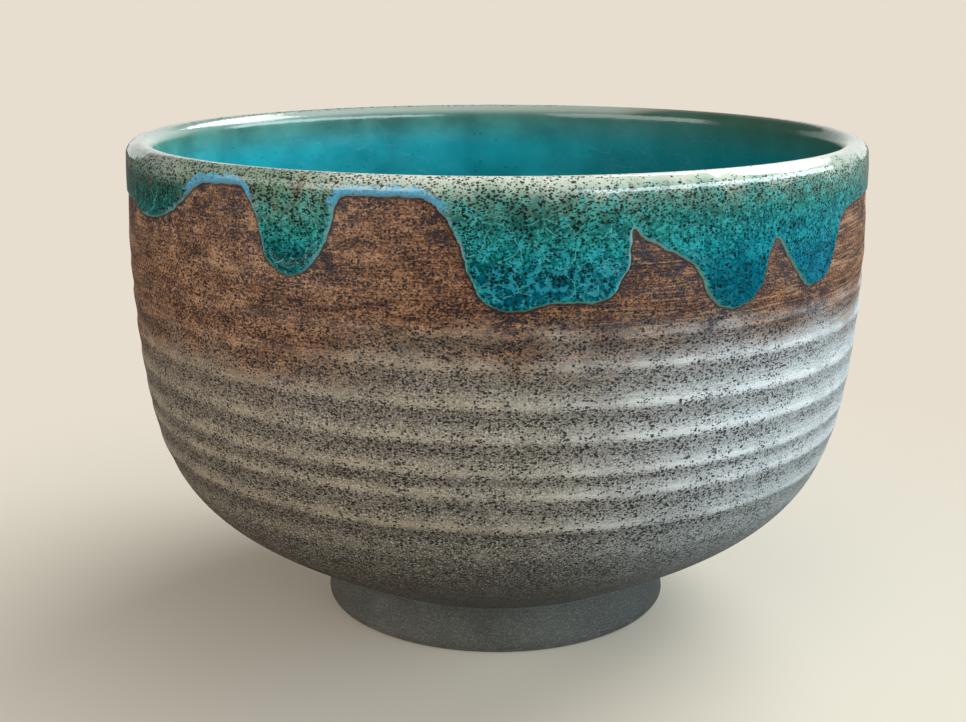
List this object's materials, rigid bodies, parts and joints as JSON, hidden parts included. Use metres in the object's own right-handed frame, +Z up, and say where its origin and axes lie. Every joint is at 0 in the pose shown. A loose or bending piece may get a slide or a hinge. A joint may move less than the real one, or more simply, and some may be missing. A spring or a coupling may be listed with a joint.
{
  "type": "matcha bowl",
  "caption": "Round stoneware tea bowl on a foot ring, with throwing ridges outside, a glazed inside and glaze that runs down from the rim.",
  "frame": {"origin": "centre of the foot ring's base, on the surface that the bowl stands on", "axes": "+Z up along the bowl's axis; -Y is the front, where the widest run of glaze is; +X to the viewer's right"},
  "size_m": [0.1211, 0.1213, 0.08],
  "materials": {
    "stoneware": "matte",
    "foot_stoneware": "matte",
    "liner_glaze": "gloss",
    "rim_glaze": "gloss"
  },
  "bodies": {
    "root": {"clay_body": "stoneware", "foot_ring": "foot_stoneware", "liner_glaze": "liner_glaze", "rim_glaze": "rim_glaze"}
  },
  "joints": []
}
